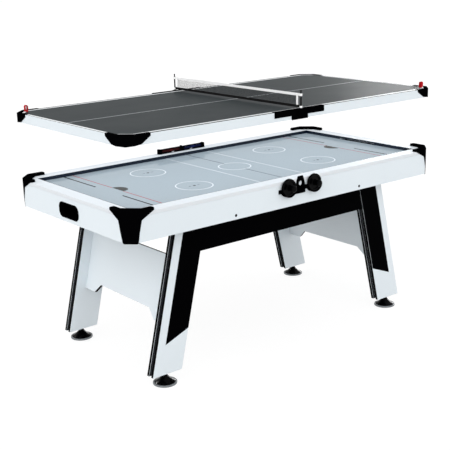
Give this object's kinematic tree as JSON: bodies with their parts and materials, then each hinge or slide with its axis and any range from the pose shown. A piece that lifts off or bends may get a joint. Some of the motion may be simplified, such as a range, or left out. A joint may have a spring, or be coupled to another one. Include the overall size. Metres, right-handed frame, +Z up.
{
  "type": "multi game table",
  "caption": "Air hockey table on splayed board legs with screw-in levelers, clip-on strikers, end puck windows and a lift-on table tennis top with a removable net.",
  "frame": {"origin": "on the floor, under the middle of the whole part's bounding box", "axes": "+X along the table towards its right end, +Y across it towards the scorer, +Z up"},
  "size_m": [1.83, 0.9749, 1.196],
  "materials": {
    "white_laminate": "satin white laminate on board",
    "grey_board": "matt raw board",
    "black_laminate": "satin black laminate on board",
    "playfield_gloss": "high gloss lacquer on board",
    "tennis_surface": "satin paint on board",
    "navy_trim": "satin extrusion",
    "black_plastic": "satin moulding",
    "foot_plastic": "gloss moulding",
    "grey_plastic": "satin moulding",
    "motor_steel": "plain can",
    "red_lens": "gloss lens",
    "blue_lens": "gloss lens",
    "net_fabric": "knotless mesh with tapes",
    "red_fabric": "woven tape"
  },
  "bodies": {
    "table": {"apron_front": "white_laminate", "apron_back": "white_laminate", "apron_left": "white_laminate", "apron_right": "white_laminate", "rail_front": "white_laminate", "rail_back": "white_laminate", "rail_left": "white_laminate", "rail_right": "white_laminate", "leg_outer_board_front_left": "white_laminate", "leg_outer_board_front_right": "white_laminate", "leg_outer_board_back_left": "white_laminate", "leg_outer_board_back_right": "white_laminate", "leg_inner_board_front_left": "white_laminate", "leg_inner_board_front_right": "white_laminate", "leg_inner_board_back_left": "white_laminate", "leg_inner_board_back_right": "white_laminate", "end_panel_left": "white_laminate", "end_panel_right": "white_laminate", "air_box_frame": "grey_board", "bottom_board": "grey_board", "long_skirt_front": "black_laminate", "long_skirt_back": "black_laminate", "playfield_board": "playfield_gloss", "rail_liner": "navy_trim", "corner_cap_front_left": "black_plastic", "corner_cap_front_right": "black_plastic", "corner_cap_back_left": "black_plastic", "corner_cap_back_right": "black_plastic", "puck_tray_left": "black_plastic", "puck_tray_right": "black_plastic", "blower_housing": "black_plastic", "striker_rack": "black_plastic", "scorer_housing": "black_plastic", "blower_motor": "motor_steel", "score_display_left": "red_lens", "score_display_right": "blue_lens"},
    "tennis_top": {"tennis_board_left": "tennis_surface", "tennis_board_right": "tennis_surface", "tennis_frame_left": "white_laminate", "tennis_frame_right": "white_laminate", "tennis_cap_front_left": "black_plastic", "tennis_cap_front_right": "black_plastic", "tennis_cap_back_left": "black_plastic", "tennis_cap_back_right": "black_plastic", "mid_bracket_front": "black_plastic", "mid_bracket_back": "black_plastic", "pull_loop_back_left": "red_fabric", "pull_loop_front_right": "red_fabric"},
    "net_set": {"net": "net_fabric", "net_post_front": "black_plastic", "net_post_back": "black_plastic"},
    "striker_left_body": {"striker_left": "black_plastic"},
    "striker_right_body": {"striker_right": "black_plastic"},
    "impeller": {"blower_impeller": "grey_plastic"},
    "score_button_left_body": {"scorer_button_left": "grey_plastic"},
    "score_button_right_body": {"scorer_button_right": "grey_plastic"},
    "foot_front_left": {"leveler_front_left": "foot_plastic"},
    "foot_front_right": {"leveler_front_right": "foot_plastic"},
    "foot_back_left": {"leveler_back_left": "foot_plastic"},
    "foot_back_right": {"leveler_back_right": "foot_plastic"}
  },
  "joints": [
    {"name": "top_lift", "type": "slide", "parent": "table", "child": "tennis_top", "axis": [0, 0, 1], "range_m": [-0.2472, 0]},
    {"name": "net_lift", "type": "slide", "parent": "tennis_top", "child": "net_set", "axis": [0, 0, 1], "range_m": [0, 0.12]},
    {"name": "foot_front_left_screw", "type": "slide", "parent": "table", "child": "foot_front_left", "axis": [0, 0, 1], "range_m": [-0.012, 0]},
    {"name": "foot_front_right_screw", "type": "slide", "parent": "table", "child": "foot_front_right", "axis": [0, 0, 1], "range_m": [-0.012, 0]},
    {"name": "foot_back_left_screw", "type": "slide", "parent": "table", "child": "foot_back_left", "axis": [0, 0, 1], "range_m": [-0.012, 0]},
    {"name": "foot_back_right_screw", "type": "slide", "parent": "table", "child": "foot_back_right", "axis": [0, 0, 1], "range_m": [-0.012, 0]},
    {"name": "striker_left_pull", "type": "slide", "parent": "table", "child": "striker_left_body", "axis": [0, -1, 0], "range_m": [0, 0.08]},
    {"name": "striker_right_pull", "type": "slide", "parent": "table", "child": "striker_right_body", "axis": [0, -1, 0], "range_m": [0, 0.08]},
    {"name": "impeller_spin", "type": "hinge", "parent": "table", "child": "impeller", "pos_m": [0, 0.0184, 0.68], "axis": [0, 0, 1], "continuous": true},
    {"name": "score_button_left_press", "type": "slide", "parent": "table", "child": "score_button_left_body", "axis": [0, 1, 0], "range_m": [0, 0.0013], "stiffness_N_per_m": 300},
    {"name": "score_button_right_press", "type": "slide", "parent": "table", "child": "score_button_right_body", "axis": [0, 1, 0], "range_m": [0, 0.0013], "stiffness_N_per_m": 300}
  ]
}
